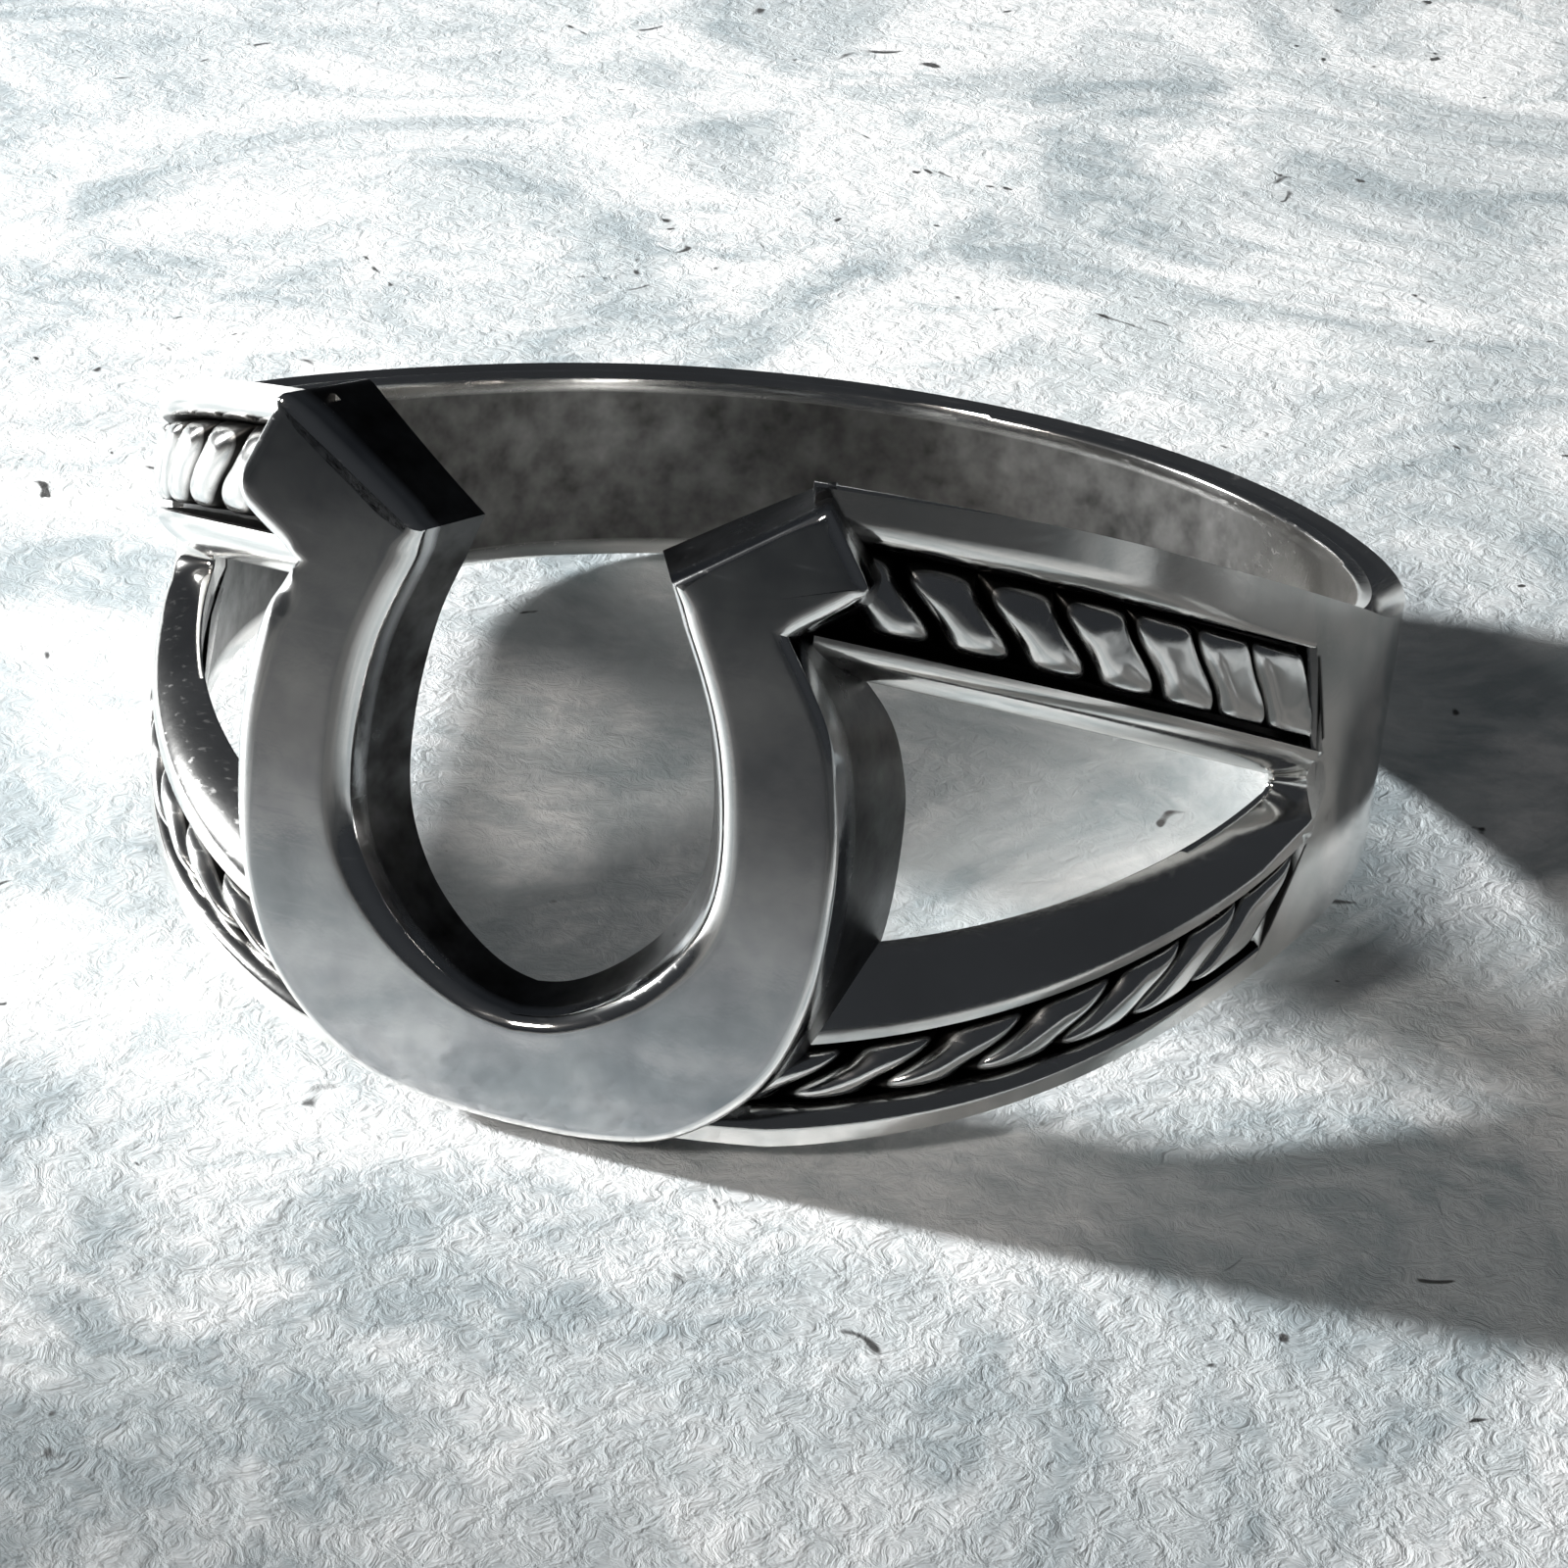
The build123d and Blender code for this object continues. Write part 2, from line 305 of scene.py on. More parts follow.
def channel_bed(level, hand, material):
    """Thin curved plate under a rope: silver inside the ring and black under the rope."""
    lines = LINES[level, hand]
    sign = 1 if level == "upper" else -1
    end = seam_angle(sign * BED_MIDDLE, SHANK_R) + 0.02
    sections = []
    for t in along(0, 1, 50):
        angle = lerp(BED_START[level], end, t)
        section = []
        for radius, edges in ((BED_BORE, (-0.05, 1.05)), (BED_R, (1.05, -0.05))):
            for w in along(*edges, BED_POINTS):
                y = -radius * cos(angle)
                z = lerp(height_on(lines["frame"], y), height_on(lines["rail"], y), w)
                section.append(on_ring(hand, angle, radius, z))
        sections.append(section)
    oxide_and_shade_rows = [[0.0] * BED_POINTS + [1.0] * BED_POINTS for _ in sections]
    node = f"channel_bed_{level}_{'right' if hand > 0 else 'left'}"
    make_piece("visual_" + node, [node], "blackened_silver", material, *sweep(sections, oxide_and_shade_rows))


ROPE_ALONG, ROPE_ACROSS = 320, 30


def in_lobe(grooves, degrees_in):
    """How far an angle lies between the grooves on either side of it, from 0 to 1."""
    k = 0
    while k < len(grooves) - 2 and degrees_in > grooves[k + 1]:
        k += 1
    return min(max((degrees_in - grooves[k]) / (grooves[k + 1] - grooves[k]), 0.0), 1.0)


def dome(v, power):
    """Rounded hump over -1 to 1, with its top at 0."""
    return max(1 - abs(v) ** power, 0.0) ** (1 / power)


def rope(level, hand, material):
    """Leaning lobes as one surface: deep and round near the head, shallow and flat near the shank."""
    lines = LINES[level, hand]
    sign = 1 if level == "upper" else -1
    grooves, lean = GROOVES[level], radians(GROOVE_LEAN[level])
    points, faces, oxide_and_shade = [], [], []
    for i in range(ROPE_ALONG):
        middle = radians(lerp(grooves[0], grooves[-1], i / (ROPE_ALONG - 1)))
        degrees_in = middle * 180 / pi
        fade = smooth((degrees_in - ROPE_FADE[0]) / ROPE_FADE[1])
        here = {name: lerp(*ends, fade) for name, ends in ROPE.items()}
        f = in_lobe(grooves, degrees_in)
        lobe = dome(2 * f - 1, here["lobe_power"])
        for j in range(ROPE_ACROSS + 1):
            v = 2 * j / ROPE_ACROSS - 1                       # -1 beside the frame, +1 beside the rail
            angle = middle - lean * (0.5 * v + here["bend"] * sin(pi * v))
            shape = lobe * dome(v, here["side_power"])
            radius = lerp(here["deep"], here["top"], shape) + here["tilt"] * (0.5 - f) * shape
            y = -SHANK_R * cos(angle)
            low = height_on(lines["frame"], y) + sign * here["gap"]
            high = height_on(lines["rail"], y) - sign * here["gap"]
            z = lerp(low, high, (v + 1) / 2)
            radius += wavy((angle * 10, z, hand), 0.5, 0.02) * shape
            points.append(on_ring(hand, angle, radius, z))
            oxide_and_shade.append(min(max((0.86 - shape) / 0.42, 0.0), 1.0))
    width = ROPE_ACROSS + 1
    for i in range(ROPE_ALONG - 1):
        for j in range(ROPE_ACROSS):
            a = i * width + j
            faces.append((a, a + 1, a + 1 + width, a + width))
    node = f"rope_{level}_{'right' if hand > 0 else 'left'}"
    make_piece("visual_" + node, [node], "rope_silver", material, points, faces, oxide_and_shade, sharp=60)


ARM_STEPS, TIP_STEPS = 80, 40
TIP_Y = -2.85                    # where a split starts to round off
CORNER_Y, TAIL_Y = -2.64, -1.91  # where a frame's arms end, and the end of its tail at the shank


def arm_stations(lines):
    """Stations along one arm of a split frame, from inside the shoe."""
    stations = []
    for t in along(0, 1, ARM_STEPS + 1):
        outer_y = lerp(-FRAME_R * cos(FRAME_START), CORNER_Y, t)
        inner_y = lerp(-BORE * cos(FRAME_START), TIP_Y, t)
        stations.append(((acos(-outer_y / FRAME_R), height_on(lines["frame"], outer_y)),
                         (acos(-inner_y / BORE), height_on(lines["split"], inner_y))))
    return stations


def tip_stations(upper, lower):
    """Stations round a split frame's tip, from the upper arm to the lower arm."""
    split_top, split_low = height_on(upper["split"], TIP_Y), height_on(lower["split"], TIP_Y)
    middle, half = (split_top + split_low) / 2, (split_top - split_low) / 2
    corners = [(upper, CORNER_Y), (upper, TAIL_Y), (lower, TAIL_Y), (lower, CORNER_Y)]
    path = spaced([Vector((y, height_on(lines["frame"], y))) for lines, y in corners], TIP_STEPS)
    stations = []
    for k in range(1, TIP_STEPS):
        turn = k / TIP_STEPS * pi
        inner_y = TIP_Y + half * 1.1 * sin(turn)
        stations.append(((acos(-path[k].x / FRAME_R), path[k].y),
                         (acos(-inner_y / BORE), middle + half * cos(turn))))
    return stations


def frame_stations(hand):
    """Pairs of points: (angle, z) on the channel side and (angle, z) on the split side."""
    upper, lower = LINES["upper", hand], LINES["lower", hand]
    return arm_stations(upper) + tip_stations(upper, lower) + arm_stations(lower)[::-1]


FLANK_STEPS = 14
RIDGE = (0.50, 1.20)             # distance of a frame's ridge from its split, at the tip and on the arms


def split_frame(hand, material):
    """Bent bar round a split: out along the upper arm, round the tip and back along the lower arm."""
    sections, oxide_and_shade_rows = [], []
    for outer, inner in frame_stations(hand):
        depth = cos(outer[0]) * FRAME_R                       # distance in front of the finger's axis
        top = lerp(SHANK_R, FRAME_R, smooth((depth - 5.0) / 4.0))
        beside_rope = smooth((depth - 2.75) / 0.25)
        width = sqrt(((outer[0] - inner[0]) * FRAME_R)**2 + (outer[1] - inner[1])**2)
        ridge = min(0.90, lerp(*RIDGE, smooth((depth - 2.8) / 3.0)) / width)
        profile = [(1.0, ARM_BORE, beside_rope), (1.0, BED_R, beside_rope),
                   (1.0, top - 0.07 * beside_rope, 0.7 * beside_rope), (0.98, top, 0.0)]
        for k in range(FLANK_STEPS + 1):
            # the flank falls gently beside the rope and steeply into the split
            t = k / FLANK_STEPS
            profile.append((ridge * (1 - t), lerp(top, BORE + 0.06, t ** 1.9), 0.0))
        profile.append((0.02, ARM_BORE, 0.0))
        section, row = [], []
        for w, radius, oxide_and_shade in profile:
            angle, z = lerp(inner[0], outer[0], w), lerp(inner[1], outer[1], w)
            section.append(on_ring(hand, angle, radius, z))
            row.append(oxide_and_shade)
        sections.append(section)
        oxide_and_shade_rows.append(row)
    node = f"split_frame_{'right' if hand > 0 else 'left'}"
    make_piece("visual_" + node, [node], "polished_silver", material,
               *sweep(sections, oxide_and_shade_rows), sharp=50)


CHANNEL_END_Y = -2.80            # the channels end in front of this depth, at the seam
SHANK_STEPS = 240
BORE_PAINTED_SHADE = (0.08, 0.56)      # painted shade, partly patina, inside the band in the oxide black: at its right end and elsewhere


def ends_channel(hand, point):
    """True for a point on the seam that closes one of the rope channels."""
    _, y, z = point
    if y > CHANNEL_END_Y:
        return False
    for level in ("upper", "lower"):
        low, high = sorted(height_on(LINES[level, hand][name], y) for name in ("frame", "rail"))
        if low + 0.05 < z < high - 0.05:
            return True
    return False


def shank_profile():
    """Band profile as (share of the height from -1 to 1, inset in mm, radius), from the bore round."""
    rim = [(0.10, BORE), (0.03, BORE + 0.03), (0.0, BORE + 0.10), (0.0, BORE + 0.25)]
    rim += rim_slope(RIM_IN, SHANK_R)
    profile = [(-1, inset, radius) for inset, radius in rim]
    profile += [(lerp(-0.8, 0.8, k / 50), 0.0, SHANK_R) for k in range(51)]
    profile += [(1, inset, radius) for inset, radius in reversed(rim)]
    profile += [(lerp(0.8, -0.8, k / 8), 0.0, BORE) for k in range(9)]
    return profile


def shank(material):
    """Plain band from one seam round the back to the other."""
    profile = shank_profile()
    in_bore = [radius < BORE + 0.01 and inset == 0.0 for _, inset, radius in profile]
    sections = []
    for t in along(0, 1, SHANK_STEPS):
        section = []
        for v, inset, radius in profile:
            angle = SHANK_GUESS if t < 0.5 else 2 * pi - SHANK_GUESS
            for _ in range(4):
                hand = 1 if angle < pi else -1
                y = -radius * cos(angle)
                low = height_on(LINES["lower", hand]["rim"], y)
                high = height_on(LINES["upper", hand]["rim"], y)
                z = lerp(low, high, (v + 1) / 2) - v * inset
                start = seam_angle(z, radius)
                angle = lerp(start, 2 * pi - start, t)
            section.append(on_ring(1, angle, radius, z))
        sections.append(section)
    oxide_and_shade_rows = []
    for t in along(0, 1, SHANK_STEPS):
        # painted shade inside the band, in the oxide black: light at the band's right end, dark
        # elsewhere
        bore_shade = lerp(*BORE_PAINTED_SHADE, smooth((t - 0.16) / 0.16))
        oxide_and_shade_rows.append([bore_shade if inside else 0.0 for inside in in_bore])
    for end, hand in ((0, 1), (-1, -1)):
        for k, point in enumerate(sections[end]):
            if not in_bore[k] and ends_channel(hand, point):
                oxide_and_shade_rows[end][k] = 0.9
    make_piece("visual_shank", ["shank"], "polished_silver", material, *sweep(sections, oxide_and_shade_rows))


# ---------------------------------------------------------------- horseshoe

FACE_Y, ROOT_Y = -10.45, -7.90
FOOT_STEPS, SIDE_STEPS = 34, 78  # along the foot at an arm's end, and along the rest of its side
STRIPS = 14                      # across an arm
CORNER_STEPS, EDGE_STEPS = 200, 8
# painted shade: the shoe's walls and heel ends darkened evenly with the oxide black; only the crease by
# the rails is patina
WALL_PAINTED_SHADE = 0.58
HEEL_ROUND = {1: 0.07, -1: 0.22}
FOOT_ROUND = {1: 0.10, -1: 0.45}

# Half outlines as (x, z), from the heel to the toe, on the front face and on the root plane
SHOE = {
    "face": dict(
        heel_inner=(1.94, 3.97), heel_outer={1: (4.09, 5.49), -1: (4.22, 5.66)},
        foot={1: (4.79, 4.42), -1: (5.00, 4.00)}, notch={1: (3.64, 3.56), -1: (3.84, 3.16)},
        outside=[(4.36, 2.30), (4.62, 1.10), (4.69, 0.0), (4.56, -1.55), (4.14, -2.90), (3.46, -3.85),
                 (2.45, -4.57), (1.25, -4.85), (0.0, -4.92)],
        inside_top=(2.21, 3.28),
        inside=[(2.50, 2.60), (2.74, 1.90), (2.90, 1.10), (2.98, 0.10), (2.92, -0.70), (2.70, -1.34),
                (2.32, -1.90), (1.86, -2.37), (1.20, -2.82), (0.60, -3.08), (0.0, -3.18)],
    ),
    "root": dict(
        heel_inner=(0.55, 4.20), heel_outer={1: (3.35, 5.32), -1: (3.35, 5.55)},
        foot={1: (4.74, 3.66), -1: (4.74, 3.30)}, notch={1: (3.80, 2.90), -1: (3.92, 2.55)},
        outside=[(4.62, 1.90), (4.92, 0.95), (4.98, 0.0), (4.88, -1.55), (4.52, -3.05), (3.80, -4.05),
                 (2.80, -4.80), (1.45, -5.10), (0.0, -5.20)],
        inside_top=(0.90, 3.42),
        inside=[(1.26, 2.72), (1.52, 1.90), (1.74, 1.10), (1.86, 0.10), (1.80, -0.60), (1.58, -1.20),
                (1.20, -1.70), (0.84, -2.05), (0.50, -2.32), (0.24, -2.46), (0.0, -2.52)],
    ),
}


def through(points, count):
    """A smooth curve through points, spaced evenly, as count + 1 points."""
    dense = []
    ends = [points[0]] + points + [points[-1]]
    for k in range(1, len(ends) - 2):
        a, b, c, d = (Vector(p) for p in ends[k - 1:k + 3])
        for m in range(12):
            t = m / 12
            dense.append(0.5 * (2 * b + (c - a) * t + (2 * a - 5 * b + 4 * c - d) * t**2
                                + (3 * b - a - 3 * c + d) * t**3))
    dense.append(Vector(points[-1]))
    return spaced(dense, count)


def spaced(points, count):
    """Points evenly spaced along a polyline."""
    lengths = [0.0]
    for a, b in zip(points, points[1:]):
        lengths.append(lengths[-1] + (b - a).length)
    result, k = [], 0
    for m in range(count + 1):
        target = lengths[-1] * m / count
        while k < len(points) - 2 and target > lengths[k + 1]:
            k += 1
        t = (target - lengths[k]) / (lengths[k + 1] - lengths[k])
        result.append(points[k].lerp(points[k + 1], min(t, 1.0)))
    return result


def rounded_corner(before, corner, after, size):
    """Curve from before to after that turns smoothly at the corner, as CORNER_STEPS + 1 points."""
    start = corner + (before - corner).normalized() * size
    end = corner + (after - corner).normalized() * size
    curve = [before]
    for m in range(13):
        t = m / 12
        curve.append(start * (1 - t)**2 + corner * 2 * t * (1 - t) + end * t**2)
    curve.append(after)
    return spaced(curve, CORNER_STEPS)


def half_outline(shape, hand):
    """Inner and outer edges of half a shoe from heel to toe, with equal numbers of points."""
    heel_round = HEEL_ROUND[hand]
    heel_inner, heel_outer = Vector(shape["heel_inner"]), Vector(shape["heel_outer"][hand])
    foot, notch = Vector(shape["foot"][hand]), Vector(shape["notch"][hand])
    turn = heel_outer.lerp(foot, 0.5)
    corner = rounded_corner(heel_inner, heel_outer, turn, heel_round)
    # keep only the part of the rounded corner beyond the straight end
    straight_end = heel_outer - (heel_outer - heel_inner).normalized() * heel_round
    nearest = min(range(len(corner)), key=lambda k: (corner[k] - straight_end).length)
    lower = rounded_corner(turn, foot, foot.lerp(notch, 0.8), FOOT_ROUND[hand])
    outer = spaced(corner[nearest:] + lower[1:] + [notch], FOOT_STEPS)
    outer += through([shape["notch"][hand]] + shape["outside"], SIDE_STEPS)[1:]
    inner = spaced([heel_inner, Vector(shape["inside_top"])], FOOT_STEPS)
    inner += through([shape["inside_top"]] + shape["inside"], SIDE_STEPS)[1:]
    mirror = Vector((hand, 1))
    return [p * mirror for p in inner], [p * mirror for p in outer]


def full_outline(shape):
    """Inner and outer edges of the whole shoe, from the left heel round the toe to the right heel."""
    left_inner, left_outer = half_outline(shape, -1)
    right_inner, right_outer = half_outline(shape, 1)
    return left_inner + right_inner[-2::-1], left_outer + right_outer[-2::-1]


def loop_of(inner, outer):
    """Closed outline: along the inner edge, across the right heel, back along the outer edge."""
    loop = list(inner)
    loop += [inner[-1].lerp(outer[-1], k / STRIPS) for k in range(1, STRIPS)]
    loop += outer[::-1]
    loop += [outer[0].lerp(inner[0], k / STRIPS) for k in range(1, STRIPS)]
    return loop


def inward_normals(loop):
    """Normals that point into the shoe's face, longer where the outline turns."""
    normals = []
    for k, point in enumerate(loop):
        ahead = (loop[(k + 1) % len(loop)] - point).normalized()
        behind = (point - loop[k - 1]).normalized()
        way = (ahead + behind).normalized()
        stretch = 1 / max((1 + ahead.dot(behind)) / 2, 0.35) ** 0.5
        normals.append(Vector((way.y, -way.x)) * stretch)
    return normals


# Widths of the rounding on the shoe's front edge
ROUND_INSIDE_TOE, ROUND_INSIDE_ARM = 0.20, 0.30
ROUND_OUTSIDE_RIGHT, ROUND_OUTSIDE_LEFT = 0.14, 0.42
ROUND_RIGHT_HEEL, ROUND_RIGHT_FOOT, ROUND_LEFT_FOOT = 0.07, 0.20, 0.26


def edge_round(k, count_inner, count_outer):
    """Width of the rounding on the front edge at loop point k."""
    if k < count_inner:
        t = abs(k / (count_inner - 1) * 2 - 1)                # 1 at the heels, 0 at the toe
        width = lerp(ROUND_INSIDE_TOE, ROUND_INSIDE_ARM, smooth(t / 0.4))
        return width * lerp(1.0, 0.6, smooth((t - 0.8) / 0.2))
    if k < count_inner + STRIPS - 1:
        return ROUND_RIGHT_HEEL
    m = (k - count_inner - STRIPS + 1) / (count_outer - 1)    # 0 at the right heel, 1 at the left
    foot_share = FOOT_STEPS / (count_outer / 2)
    if m < foot_share * 0.5:
        return ROUND_RIGHT_FOOT
    if m > 1 - foot_share * 0.5:
        return ROUND_LEFT_FOOT
    return lerp(ROUND_OUTSIDE_RIGHT, ROUND_OUTSIDE_LEFT, smooth((m - 0.62) / 0.2))


NEIGHBOURS = 14                  # loop points looked at on either side


def limit_insets(loop, normals, widths):
    """Keep a rounding from crossing the one round the corner from it."""
    count = len(loop)
    result = []
    for k in range(count):
        width = widths[k]
        for step in range(-NEIGHBOURS, NEIGHBOURS + 1):
            other = (k + step) % count
            facing = normals[k].normalized().dot(normals[other].normalized())
            if facing < 0.6:
                width = min(width, max((loop[other] - loop[k]).length * 0.9, 0.02))
        result.append(width)
    for _ in range(3):
        result = [min(result[k], (result[k - 1] + result[k] + result[(k + 1) % count]) / 3 + 0.01)
                  for k in range(count)]
    return result


def bore_depth(x):
    return -sqrt(BORE**2 - min(abs(x), BORE)**2)


def wall_end(face_point, root_point):
    """Point where the shoe's wall, which runs from face to root, meets the finger hole."""
    low, high = 0.0, 1.4
    for _ in range(24):
        middle = (low + high) / 2
        x = lerp(face_point.x, root_point.x, middle)
        if lerp(FACE_Y, ROOT_Y, middle) < bore_depth(x):
            low = middle
        else:
            high = middle
    return (lerp(face_point.x, root_point.x, low), lerp(FACE_Y, ROOT_Y, low),
            lerp(face_point.y, root_point.y, low))


def edge_rings(face_loop, root_loop, widths):
    """Rings of points from the flat face over its rounded edge, each with its value for the oxide and
    shade amount.
    """
    normals = inward_normals(face_loop)
    widths = limit_insets(face_loop, normals, widths)
    rings = []
    for m in range(EDGE_STEPS + 1):
        a = m / EDGE_STEPS * pi / 2
        ring = []
        for face, root, normal, width in zip(face_loop, root_loop, normals, widths):
            flat = face + normal * (width * (1 - sin(a)))
            drop = width * 0.85 * (1 - cos(a))
            share = drop / (ROOT_Y - FACE_Y)
            x = lerp(flat.x, flat.x + (root.x - face.x), share)
            z = lerp(flat.y, flat.y + (root.y - face.y), share)
            ring.append((x, FACE_Y + drop, z))
        rings.append((ring, -sin(2 * a)))
    return rings


def wall_rings(top_ring, face_loop, root_loop):
    """Rings of points down the shoe's wall to the finger hole, each with its amount of oxide black,
    which on the walls is painted shade.
    """
    rings = []
    for t in (0.25, 0.4, 0.55, 0.7, 0.85, 0.97, 1.0):
        ring = []
        for top, face, root in zip(top_ring, face_loop, root_loop):
            ring.append(tuple(Vector(top).lerp(Vector(wall_end(face, root)), t)))
        rings.append((ring, WALL_PAINTED_SHADE))
    return rings


def fill_strips(ring, columns, points, curved):
    """Faces between the inner and outer edges of a ring, on the flat front or the hollow back."""
    grid = []
    for i in range(columns):
        inner_id, outer_id = ring[i], ring[2 * columns + STRIPS - 2 - i]
        row = [inner_id]
        for j in range(1, STRIPS):
            if i == 0:
                row.append(ring[-j])
            elif i == columns - 1:
                row.append(ring[columns - 1 + j])
            else:
                p = Vector(points[inner_id]).lerp(Vector(points[outer_id]), j / STRIPS)
                if curved:
                    p.y = bore_depth(p.x)
                points.append(tuple(p))
                row.append(len(points) - 1)
        row.append(outer_id)
        grid.append(row)
    return [(grid[i][j], grid[i][j + 1], grid[i + 1][j + 1], grid[i + 1][j])
            for i in range(columns - 1) for j in range(STRIPS)]


def horseshoe(material):
    """Head of the ring: flat face, rounded edge, slanting walls and a back hollowed by the hole."""
    face_inner, face_outer = full_outline(SHOE["face"])
    face_loop, root_loop = loop_of(face_inner, face_outer), loop_of(*full_outline(SHOE["root"]))
    count = len(face_loop)
    widths = [edge_round(k, len(face_inner), len(face_outer)) for k in range(count)]
    for _ in range(4):
        widths = [(widths[k - 1] + 2 * widths[k] + widths[(k + 1) % count]) / 4 for k in range(count)]
    rings = edge_rings(face_loop, root_loop, widths)
    rings += wall_rings(rings[-1][0], face_loop, root_loop)
    points = [p for ring, _ in rings for p in ring]
    oxide_and_shade = [value for _, value in rings for _ in range(count)]
    faces = []
    for start in range(0, (len(rings) - 1) * count, count):
        for k in range(count):
            n = (k + 1) % count
            faces.append((start + k, start + n, start + count + n, start + count + k))
    front, back = range(count), range(len(points) - count, len(points))
    faces += fill_strips(front, len(face_inner), points, curved=False)
    faces += fill_strips(back, len(face_inner), points, curved=True)
    oxide_and_shade += [0.0] * (len(points) - len(oxide_and_shade))
    make_piece("visual_horseshoe", ["horseshoe"], "brushed_silver_face", material,
               points, faces, oxide_and_shade, sharp=38)


# ---------------------------------------------------------------- materials

class Nodes:
    """Short calls for a material's node tree."""

    def __init__(self, material):
        material.use_nodes = True
        self.tree = material.node_tree
        self.shader = self.tree.nodes["Principled BSDF"]
        coordinates = self.tree.nodes.new("ShaderNodeTexCoord")
        self.place = coordinates.outputs["Object"]

    def link(self, a, b):
        self.tree.links.new(a, b)

    def noise(self, scale, detail, rough=0.55, stretch=None, distortion=0.0):
        node = self.tree.nodes.new("ShaderNodeTexNoise")
        node.inputs["Scale"].default_value = scale
        node.inputs["Detail"].default_value = detail
        node.inputs["Roughness"].default_value = rough
        node.inputs["Distortion"].default_value = distortion
        place = self.place
        if stretch:
            mapping = self.tree.nodes.new("ShaderNodeMapping")
            mapping.inputs["Rotation"].default_value = stretch[0]
            mapping.inputs["Scale"].default_value = stretch[1]
            self.link(place, mapping.inputs["Vector"])
            place = mapping.outputs["Vector"]
        self.link(place, node.inputs["Vector"])
        return node.outputs["Fac"]

    def ramp(self, value, stops):
        """Map a value to two grey levels at the given places, and between them."""
        node = self.tree.nodes.new("ShaderNodeValToRGB")
        for element, (place, level) in zip(node.color_ramp.elements, stops):
            element.position = place
            element.color = (level, level, level, 1)
        self.link(value, node.inputs["Fac"])
        return node.outputs["Color"]

    def mix(self, factor, a, b):
        """Blend two colours, each a constant or worked out by nodes."""
        node = self.tree.nodes.new("ShaderNodeMix")
        node.data_type = "RGBA"
        self.link(factor, node.inputs[0])
        for value, socket in ((a, node.inputs[6]), (b, node.inputs[7])):
            if isinstance(value, tuple):
                socket.default_value = (*value, 1)
            else:
                self.link(value, socket)
        return node.outputs[2]

    def math(self, kind, a, b):
        """Combine a worked-out value with a constant or another worked-out value."""
        node = self.tree.nodes.new("ShaderNodeMath")
        node.operation = kind
        self.link(a, node.inputs[0])
        if isinstance(b, float):
            node.inputs[1].default_value = b
        else:
            self.link(b, node.inputs[1])
        return node.outputs[0]

    def bump(self, height, distance, strength=1.0, after=None):
        node = self.tree.nodes.new("ShaderNodeBump")
        node.inputs["Strength"].default_value = strength
        node.inputs["Distance"].default_value = distance
        self.link(height, node.inputs["Height"])
        if after:
            self.link(after, node.inputs["Normal"])
        return node.outputs["Normal"]

    def oxide_and_shade(self):
        node = self.tree.nodes.new("ShaderNodeAttribute")
        node.attribute_name = "oxide_and_shade"
        return node.outputs["Fac"]


WORN_EDGE = (0.95, 0.94, 0.92)
# black for oxide patina in recesses, also used as painted shade on the shoe's walls and inside the band
OXIDE_AND_SHADE_BLACK = (0.018, 0.017, 0.016)


def silver_material(name, light, dark, roughness, wave, grain):
    """Worked silver: cloudy polish, fine scratches, black oxide in the recesses, the same black as
    painted shade on the shoe's walls and inside the band, bright worn edges.

    The amount runs from 1 in a black recess through 0 to -1 on an edge that wear keeps bright; the
    shoe's walls and the inside of the band carry it as painted shade.
    """
    material = bpy.data.materials.new(name)
    n = Nodes(material)
    cloud = n.noise(420, 4.0, 0.6)
    fine = n.noise(5200, 3.0, 0.6)
    scratch = n.noise(900, 2.0, 0.5, stretch=((0.3, 0.5, 0.2), (1.0, 9.0, 14.0)))
    metal = n.mix(n.ramp(cloud, [(0.30, 0.0), (0.72, 1.0)]), dark, light)
    worn = n.math("MAXIMUM", n.math("MULTIPLY", n.oxide_and_shade(), -1.0), 0.0)
    metal = n.mix(worn, metal, WORN_EDGE)
    uneven = n.math("MULTIPLY", n.math("SUBTRACT", n.noise(1500, 3.0), 0.5), 0.16)
    patchy = n.math("ADD", n.oxide_and_shade(), uneven)
    black = n.ramp(patchy, [(0.25, 0.0), (0.62, 1.0)])
    colour = n.mix(black, metal, OXIDE_AND_SHADE_BLACK)
    n.link(colour, n.shader.inputs["Base Color"])
    n.shader.inputs["Metallic"].default_value = 1.0
    rough = n.math("ADD", n.math("MULTIPLY", cloud, 0.10), roughness - 0.05)
    rough = n.math("ADD", rough, n.math("MULTIPLY", black, 0.22))
    rough = n.math("ADD", rough, n.math("MULTIPLY", n.ramp(scratch, [(0.60, 0.0), (0.72, 1.0)]), 0.08))
    n.link(rough, n.shader.inputs["Roughness"])
    normal = n.bump(n.noise(260, 2.0, 0.4), wave)
    normal = n.bump(fine, grain, after=normal)
    n.link(normal, n.shader.inputs["Normal"])
    return material


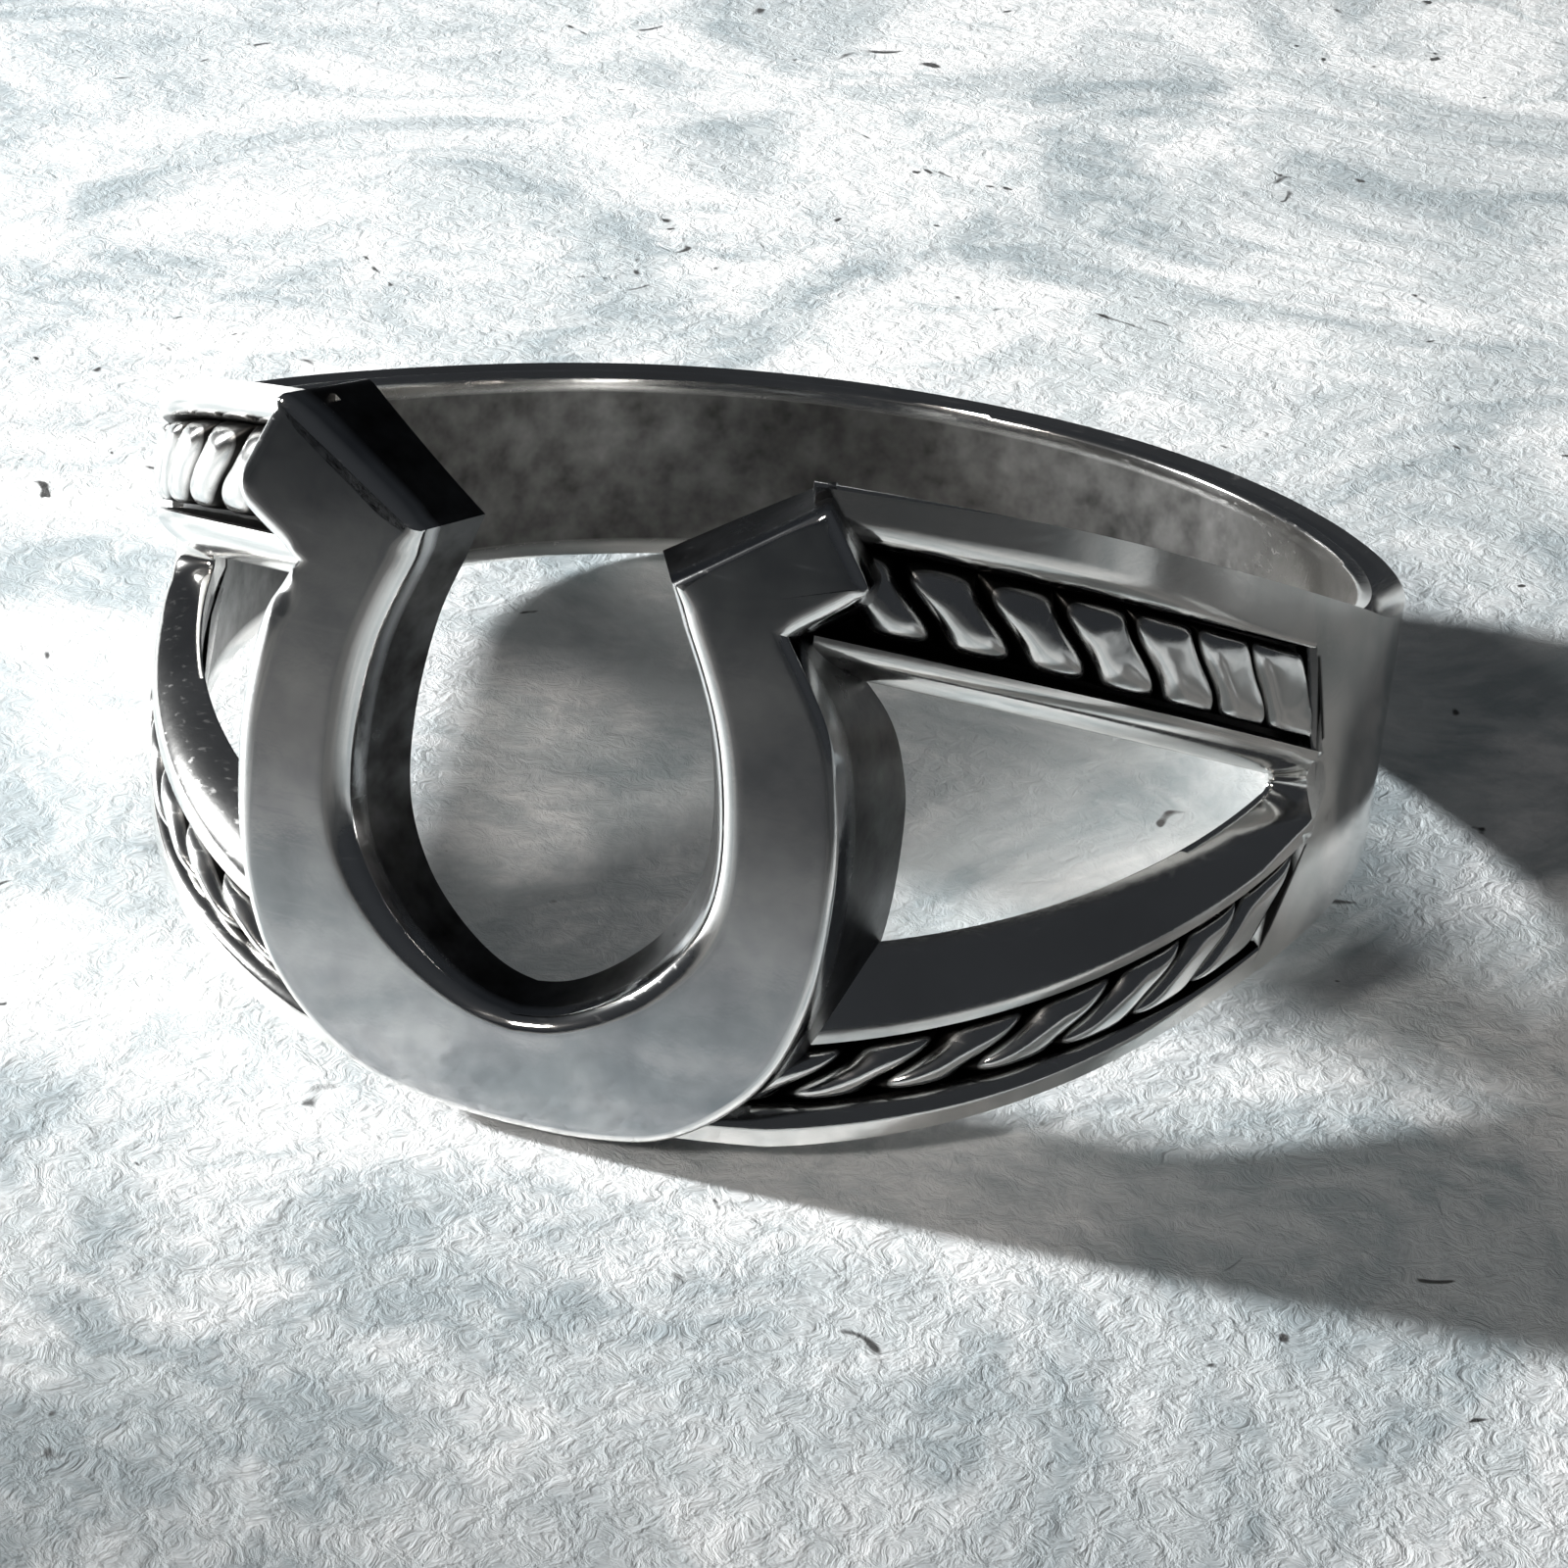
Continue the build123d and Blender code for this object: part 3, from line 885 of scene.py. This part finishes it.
def floor_material():
    """Pale rough paper or plaster: cool blotches, fine crumpled grain and a few dark flecks."""
    material = bpy.data.materials.new("pale_table")
    n = Nodes(material)
    blotch = n.noise(95, 6.0, 0.66, distortion=1.2)
    veins = n.noise(240, 5.0, 0.62, distortion=2.2)
    grain = n.noise(2300, 5.0, 0.68, distortion=0.8)
    tone = n.mix(n.ramp(blotch, [(0.40, 0.0), (0.56, 1.0)]), (0.36, 0.41, 0.43), (0.82, 0.83, 0.83))
    tone = n.mix(n.ramp(veins, [(0.36, 0.0), (0.50, 1.0)]), (0.55, 0.59, 0.60), tone)
    pits = n.math("MULTIPLY", n.ramp(grain, [(0.36, 1.0), (0.56, 0.0)]), 0.35)
    tone = n.mix(pits, tone, (0.45, 0.48, 0.49))
    flecks = n.ramp(n.noise(420, 2.0, 0.4, distortion=3.0), [(0.235, 1.0), (0.27, 0.0)])
    tone = n.mix(flecks, tone, (0.06, 0.06, 0.06))
    n.link(tone, n.shader.inputs["Base Color"])
    n.shader.inputs["Roughness"].default_value = 0.6
    n.link(n.bump(grain, 0.00010, 0.8), n.shader.inputs["Normal"])
    return material


# ---------------------------------------------------------------- scene

def make_camera():
    azimuth, elevation, roll = radians(19.23), radians(29.71), radians(2.73)
    distance, aim = 0.06266, Vector((0.00073, -0.00089, 0.00114))
    back = Vector((sin(azimuth) * cos(elevation), -cos(azimuth) * cos(elevation), sin(elevation)))
    level = Vector((cos(azimuth), sin(azimuth), 0))
    up = back.cross(level)
    right = level * cos(roll) + up * sin(roll)
    up = back.cross(right)
    data = bpy.data.cameras.new("camera")
    data.lens, data.sensor_width = 85.5, 36.0
    data.clip_start, data.clip_end = 0.002, 10.0
    camera = bpy.data.objects.new("camera", data)
    camera.matrix_world = Matrix((
        (right.x, up.x, back.x, aim.x + back.x * distance),
        (right.y, up.y, back.y, aim.y + back.y * distance),
        (right.z, up.z, back.z, aim.z + back.z * distance),
        (0, 0, 0, 1),
    ))
    bpy.context.collection.objects.link(camera)
    bpy.context.scene.camera = camera


POOL_EDGE = (-0.006, -0.0215, 0)         # point of the table where both pools of light end, in front


def spot_light(name, place, target, power, soft, colour):
    """A lamp that lights a pool of the table round the target, out to the pool's edge."""
    data = bpy.data.lights.new(name, "SPOT")
    way = Vector(target) - Vector(place)
    data.spot_size, data.spot_blend = 2 * way.angle(Vector(POOL_EDGE) - Vector(place)), 0.12
    data.shadow_soft_size, data.energy, data.color = soft, power, colour
    light = bpy.data.objects.new(name, data)
    light.location = place
    light.rotation_euler = way.to_track_quat("-Z", "Y").to_euler()
    bpy.context.collection.objects.link(light)


def sky_light(place, target, side, power, colour):
    """A wide weak light over the table that the silver doesn't mirror."""
    data = bpy.data.lights.new("sky", "AREA")
    data.shape, data.size, data.size_y = "RECTANGLE", side, side
    data.energy, data.color = power, colour
    light = bpy.data.objects.new("sky", data)
    light.location = place
    light.rotation_euler = (Vector(target) - Vector(place)).to_track_quat("-Z", "Y").to_euler()
    light.visible_glossy = False
    bpy.context.collection.objects.link(light)


def world_light():
    """Dim room."""
    world = bpy.data.worlds.new("world")
    bpy.context.scene.world = world
    world.use_nodes = True
    background = world.node_tree.nodes["Background"]
    background.inputs[0].default_value = (0.80, 0.88, 1.0, 1)
    background.inputs[1].default_value = 0.035


def make_floor():
    mesh = bpy.data.meshes.new("floor")
    corners = [(-0.5, -0.5, 0), (0.5, -0.5, 0), (0.5, 0.5, 0), (-0.5, 0.5, 0)]
    mesh.from_pydata(corners, [], [(0, 1, 2, 3)])
    floor = bpy.data.objects.new("floor", mesh)
    bpy.context.collection.objects.link(floor)
    mesh.materials.append(floor_material())


bpy.context.scene.view_settings.view_transform = "Standard"
make_camera()
make_floor()
world_light()
spot_light("window", place=(-0.200, -0.022, 0.062), target=(-0.008, 0.016, 0), power=6.0, soft=0.009,
           colour=(0.97, 0.99, 1.0))
spot_light("lamp", place=(-0.090, -0.150, 0.117), target=(-0.004, 0.028, 0), power=1.55, soft=0.026,
           colour=(1.0, 0.95, 0.90))
sky_light(place=(0.02, 0.02, 0.30), target=(0, 0, 0), side=0.30, power=0.07, colour=(1.0, 0.97, 0.94))

polished = silver_material("polished_silver", light=(0.93, 0.915, 0.89), dark=(0.78, 0.76, 0.73),
                           roughness=0.13, wave=0.00003, grain=0.0000025)
face_silver = silver_material("face_silver", light=(0.62, 0.63, 0.63), dark=(0.30, 0.31, 0.33),
                              roughness=0.10, wave=0.000014, grain=0.0000014)
rope_silver = silver_material("rope_silver", light=(0.92, 0.91, 0.89), dark=(0.76, 0.75, 0.73),
                              roughness=0.17, wave=0.00003, grain=0.000003)

horseshoe(face_silver)
shank(polished)
for hand in (1, -1):
    split_frame(hand, polished)
    for level in ("upper", "lower"):
        outer_rail(level, hand, polished)
        channel_bed(level, hand, polished)
        rope(level, hand, rope_silver)
